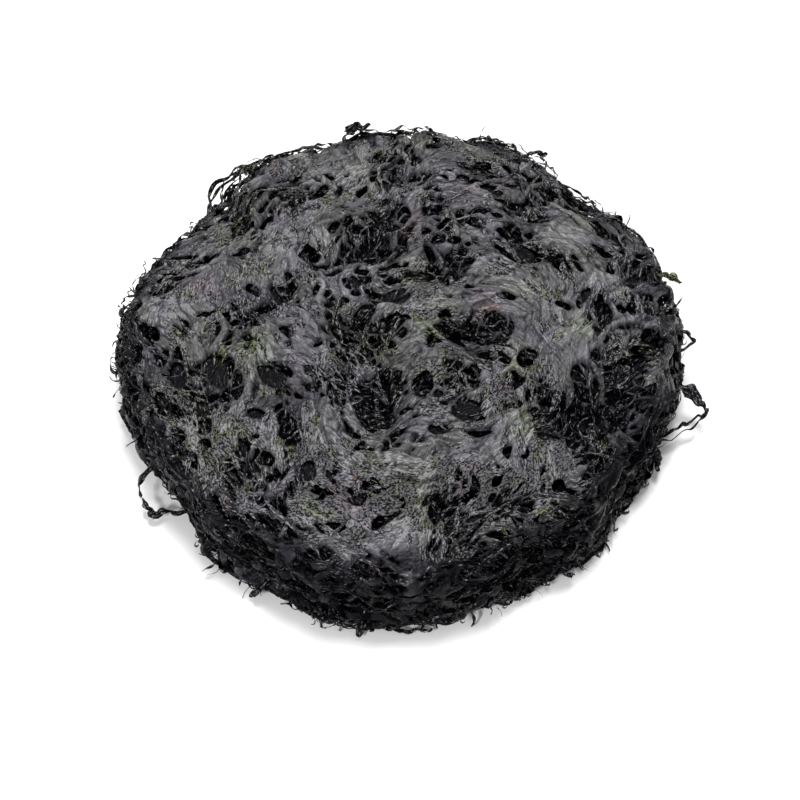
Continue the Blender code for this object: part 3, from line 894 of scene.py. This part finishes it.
# The CAD body's fronds: (width in mm, hue, points), each point (angle in degrees, distance past the rim in
# mm, height in mm)
FRONDS = (
    (5.0, 0.2, ((-2, -9, 24), (-5, -3, 22), (-7.5, 6.2, 18), (-10, 14.3, 13))),
    (1.8, 0.1, ((-8.8, 11.5, 14.5), (-10.3, 14.2, 12.6), (-13, 7, 11), (-16, 1, 10), (-20, -9, 12))),
    (1.3, 0.3, ((-8.6, 11.5, 14), (-9.9, 14.8, 11.6), (-13, 9.5, 8.5), (-17, 2, 8), (-20, -5, 10))),
    (1.8, -0.2, ((5, -9, 30), (3.5, 1, 30), (1, 5, 27), (-2, -9, 25))),
    (2.2, 0.0, ((206, -9, 20), (207.5, -0.5, 18), (208.5, 7.6, 12), (210.5, 8.5, 8))),
    (2.6, 0.0, ((210.5, 8.5, 8), (214, 7.6, 5.5), (216, 0, 5.5), (221, -9, 9))),
    (2.0, 0.0, ((206, -9, 26), (203.5, -1.5, 24), (199.5, 2, 25))),
    (5.0, 0.0, ((264, -10, 10), (263, -5, 8), (262, 2.5, 2))),
    (4.2, 0.0, ((243, -9, 9), (242, -1, 7), (240, 4, 3))),
    (7.5, 0.1, ((304, -9, 14), (304, -1, 11), (304.5, 3.5, 6))),
    (2.0, 0.2, ((264, -8, 6), (267, -2, 4), (270, 0.5, 3), (275, 0.5, 2))),
    (3.0, -0.2, ((61, -9, 41), (59, -2, 43), (56, 1, 44))),
    (3.6, -1.3, ((18, -9, 36), (15.5, -1, 37), (13, 2.5, 37))),
    (3.0, -0.6, ((112, -10, 44), (120, -5, 42), (129, -1, 40), (136, 2, 38), (143, -8, 36))),
    (1.6, -0.6, ((118, -9, 42), (126, -3.5, 41), (134, 0, 37), (140, -2, 34), (145, -9, 32))),
    (4.6, -0.2, ((104, -9, 43), (101, -3, 46), (97, -3, 46))),
    (4.0, 0.1, ((340, -9, 12), (338, 0, 10), (335, 3, 7))),
    (1.8, 0.0, ((38, -9, 40), (32, -3, 40), (25, -2.5, 38), (18, -3, 35), (12, -9, 33))),
)
FROND_STEPS = 34


def fronds(random):
    """The CAD body's fronds, drawn again with frayed, wavy edges."""
    paths = ([rim_place(turn, past * MM, height * MM) for turn, past, height in row[2]] for row in FRONDS)
    centre = np.stack([smooth_path(path, FROND_STEPS) for path in paths])
    count = len(centre)
    jitter = np.stack([wavering(random, count, FROND_STEPS, 12) for _ in range(3)], -1)
    centre = centre + 0.45 * MM * jitter
    spin = 0.5 * wavering(random, count, FROND_STEPS, 4)
    facing = turned(np.broadcast_to([0, 0, 1.0], centre.shape), centre, spin)
    widest = np.array([width for width, _, _ in FRONDS])[:, None]
    width = widest * taper(FROND_STEPS, 0.4, 0.25) * (1 + 0.28 * wavering(random, count, FROND_STEPS, 10))
    hue = np.array([hue for _, hue, _ in FRONDS])[:, None]
    look = (np.where(hue < -1, 0.5, 0.06), hue, 1, 0.24, 0.10)
    return strips("laver_fronds", centre, facing, np.maximum(width, 0.3), 0.25, look, 5)


def rim_loops(random, count, angles, spans, bulges, ways):
    """Thin strands that leave the rim and come back to it. angles and spans in degrees, bulges in
    millimetres, ways along the skin in metres."""
    steps = 20
    along = np.linspace(0, 1, steps)[None, :]
    span = np.radians(random.uniform(*spans, (count, 1)))
    angle = np.radians(random.uniform(*angles, (count, 1))) + span * along
    way = random.uniform(*ways, (count, 1)) + random.normal(0, 0.004, (count, 1)) * along
    normal = skin_normal(way, angle)
    arch = np.sin(math.pi * along) ** 0.7 * random.uniform(*bulges, (count, 1))
    rise = read(relief, *flat(way, angle)) - 1 + arch
    centre = skin(way, angle) + normal * (rise * MM)[..., None]
    centre += 0.35 * MM * np.stack([wavering(random, count, steps, 8) for _ in range(3)], -1)
    facing = turned(normal, centre, wavering(random, count, steps, 3))
    width = random.uniform(0.5, 1.6, (count, 1)) * (1 + 0.3 * wavering(random, count, steps, 6))
    look = (0.28, random.normal(-0.5, 0.6, (count, 1)), 1, 0.3, 0.16)
    return strips("laver_rim_loops", centre, facing, np.maximum(width, 0.15), 0.2, look, 3)


pieces = []
for sheet in SHEETS:
    pieces += sheet_mesh(*sheet)
pieces.append(underside())

strip_level = smooth(sunk + 0.9 * leaf_height, 0.8) + 0.2
torn = ease(-zone, -0.3, 0.8)
pieces += [
    lying(
        random, "laver_threads", 0.02 + 0.98 * torn, 900, (5, 30), (0.3, 1.4), (-3.0, 0.2),
        14, 2, 0, 0.7, 0.030, (0.57, 0.10, 0.22, 0.8, 0.26, 0.20),
    ),
    lying(
        random, "laver_strands", 0.02 + 0.04 * torn * (1 - side) + 0.9 * side, 1150, (10, 45), (0.6, 2.0),
        (-2.5, 0.9), 16, 3, 0.25, 0.7, 0.022, (0.54, 0.14, 0.26, 0.6, 0.18, 0.26),
    ),
    lying(
        random, "laver_flakes", 0.02 + side, 420, (6, 20), (2.0, 6.0), (-1.0, 0.8),
        9, 3, 0.20, 0.45, 0.015, (0.46, 0.18, 0.34, 0.4, 0.12, 0.45),
    ),
    lying(
        random, "laver_leaves", (0.25 + 0.75 * (1 - torn)) * (1 - 0.8 * side), 130, (8, 24), (1.2, 3.4),
        (-0.3, 0.2), 16, 4, 0.06, 0.2, 0.012, (0.53, 0.07, 0.30, 1.1, 0.24, 0.20),
    ),
]
# Wisps all round, tufts at the left and bits round the front's foot: what `grown` takes, from the name on
FOOT_WAYS = (WAY_END - 0.012, WAY_END - 0.002)
GROWN = (
    ("laver_wisps", 330, (0, 360), (0.118, FOOT_WAYS[1]), (4, 13), (0.3, 1.4), 12, 0.7, 0.0, 0.16, -0.10),
    ("laver_tufts", 90, (170, 194), (0.114, 0.140), (5, 12), (0.4, 1.8), 12, 0.9, 0.2, 0.16, -0.10),
    ("laver_foot_bits", 110, (225, 320), FOOT_WAYS, (5, 12), (0.5, 2.2), 12, 0.8, -0.3, 0.14, 0.10),
)
for *given, tint, hue in GROWN:
    pieces.append(grown(random, *given, (tint, 0.08, hue, 0.8, 0.24, 0.14)))
pieces += [fronds(random), rim_loops(random, 60, (15, 175), (3, 12), (1.5, 4.5), (0.116, 0.132))]


# ---------------------------------------------------------------- material

def laver_material():
    material = bpy.data.materials.new("laver")
    material.use_nodes = True
    tree = material.node_tree
    shader = tree.nodes["Principled BSDF"]

    def add(kind, inputs, output=0, **settings):
        """Adds a node and gives back one output. inputs: numbers, or outputs of other nodes, by socket."""
        node = tree.nodes.new("ShaderNode" + kind)
        for key, setting in settings.items():
            setattr(node, key, setting)
        for socket, given in inputs.items():
            if isinstance(given, bpy.types.NodeSocket):
                tree.links.new(given, node.inputs[socket])
            else:
                node.inputs[socket].default_value = given
        return node.outputs[output]

    def value(name):
        return add("Attribute", {}, "Fac", attribute_name=name)

    def compute(operation, *inputs):
        return add("Math", dict(enumerate(inputs)), operation=operation)

    def ramp(given, *stops):
        out = add("ValToRGB", {0: given})
        elements = out.node.color_ramp.elements
        while len(elements) < len(stops):
            elements.new(0.5)
        for element, (place, colour) in zip(elements, stops):
            element.position = place
            element.color = (*colour, 1)
        return out

    def noise(vector, scale, distortion):
        """Noise round zero."""
        inputs = {"Vector": vector, "Scale": scale, "Detail": 3, "Roughness": 0.65, "Distortion": distortion}
        return compute("SUBTRACT", add("TexNoise", inputs, "Fac"), 0.5)

    # Fine wrinkles that run along the fibres: noise drawn out in four directions of the rolled-out skin,
    # each of which counts where the fibres run that way
    spread = add("CombineXYZ", {0: value("map_x"), 1: value("map_y")})
    wrinkles = 0.0
    for turn in (math.radians(degrees) for degrees in (0, 45, 90, 135)):
        stretch = {"Vector": spread, "Rotation": (0, 0, turn), "Scale": (3.4, 1, 1)}
        drawn_out = add("Mapping", stretch, vector_type="TEXTURE")
        match = compute("MULTIPLY", value("cosine"), math.cos(2 * turn))
        match = compute("MULTIPLY_ADD", value("sine"), math.sin(2 * turn), match)
        match = compute("POWER", compute("MAXIMUM", match, 0.0), 1.5)
        wrinkles = compute("MULTIPLY_ADD", noise(drawn_out, 1500, 0.5), match, wrinkles)

    # Crumples in all directions, which show where the grain is strong
    crumple = compute("MULTIPLY", noise(spread, 1250, 0.4), value("grain"))
    fine = compute("MULTIPLY_ADD", crumple, 0.45, wrinkles)
    fine = compute("MULTIPLY", fine, value("grain"))

    # The grain is painted into the colour too and lights more than it darkens: painted shade in its hollows,
    # and few bright specks on its crests that are painted glints.
    painted_glints = compute("POWER", compute("MAXIMUM", fine, 0.0), 2.0)
    grain_glints_and_shade = compute("MULTIPLY_ADD", painted_glints, 38.0, compute("MULTIPLY", fine, 4.2))
    base = ramp(
        compute("ADD", grain_glints_and_shade, value("tint")),
        (0.0, (0.0010, 0.0010, 0.0018)), (0.2, (0.0052, 0.0050, 0.0075)), (0.4, (0.020, 0.020, 0.0235)),
        (0.6, (0.055, 0.054, 0.057)), (0.8, (0.125, 0.124, 0.127)), (1.0, (0.28, 0.278, 0.28)),
    )
    tone = ramp(
        compute("MULTIPLY_ADD", value("hue"), 0.25, 0.5), (0.12, (0.78, 0.92, 0.42)),
        (0.38, (0.93, 0.96, 0.88)), (0.60, (0.92, 0.90, 1.0)), (0.86, (1.0, 0.74, 0.66)),
    )
    outputs = {
        "Base Color": add("Mix", {0: 1.0, 6: base, 7: tone}, 2, data_type="RGBA", blend_type="MULTIPLY"),
        "Specular IOR Level": value("shine"),
        "Roughness": value("rough"),
        "Normal": add("Bump", {"Strength": 1.0, "Distance": 0.0020, "Height": fine}),
    }
    for socket, output in outputs.items():
        tree.links.new(output, shader.inputs[socket])
    return material


material = laver_material()
for piece in pieces:
    piece.data.materials.append(material)
    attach(piece, "root")
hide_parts("laver_cake")


# ---------------------------------------------------------------- floor, light and camera

def floor():
    bpy.ops.mesh.primitive_plane_add(size=12, location=(0, 0, 0))
    plane = bpy.context.object
    plane.name = "floor"
    material = bpy.data.materials.new("floor")
    material.use_nodes = True
    shader = material.node_tree.nodes["Principled BSDF"]
    shader.inputs["Base Color"].default_value = (0.96, 0.96, 0.96, 1)
    shader.inputs["Roughness"].default_value = 0.9
    plane.data.materials.append(material)


def softbox(name, place, size, power):
    """A round lamp that points at the cake."""
    light = bpy.data.lights.new(name, "AREA")
    light.shape = "DISK"
    light.size = size
    light.energy = power
    lamp = bpy.data.objects.new(name, light)
    lamp.location = place
    lamp.rotation_euler = (-Vector(place)).to_track_quat("-Z", "Y").to_euler()
    bpy.context.collection.objects.link(lamp)


floor()
softbox("overhead", (0.06, 0.18, 1.4), 0.5, 18)
softbox("front", (-0.65, -0.95, 0.9), 0.25, 10)

world = bpy.data.worlds.new("studio")
world.use_nodes = True
world.node_tree.nodes["Background"].inputs["Color"].default_value = (1, 1, 1, 1)
world.node_tree.nodes["Background"].inputs["Strength"].default_value = 0.52
bpy.context.scene.world = world
bpy.context.scene.view_settings.view_transform = "Standard"

camera_data = bpy.data.cameras.new("camera")
camera_data.lens = 78
camera_data.sensor_width = 36
camera = bpy.data.objects.new("camera", camera_data)
elevation, distance, target = math.radians(54.4), 0.775, Vector((-0.0008, -0.0082, 0))
camera.location = target + distance * Vector((0, -math.cos(elevation), math.sin(elevation)))
camera.rotation_euler = (target - camera.location).to_track_quat("-Z", "Y").to_euler()
bpy.context.collection.objects.link(camera)
bpy.context.scene.camera = camera
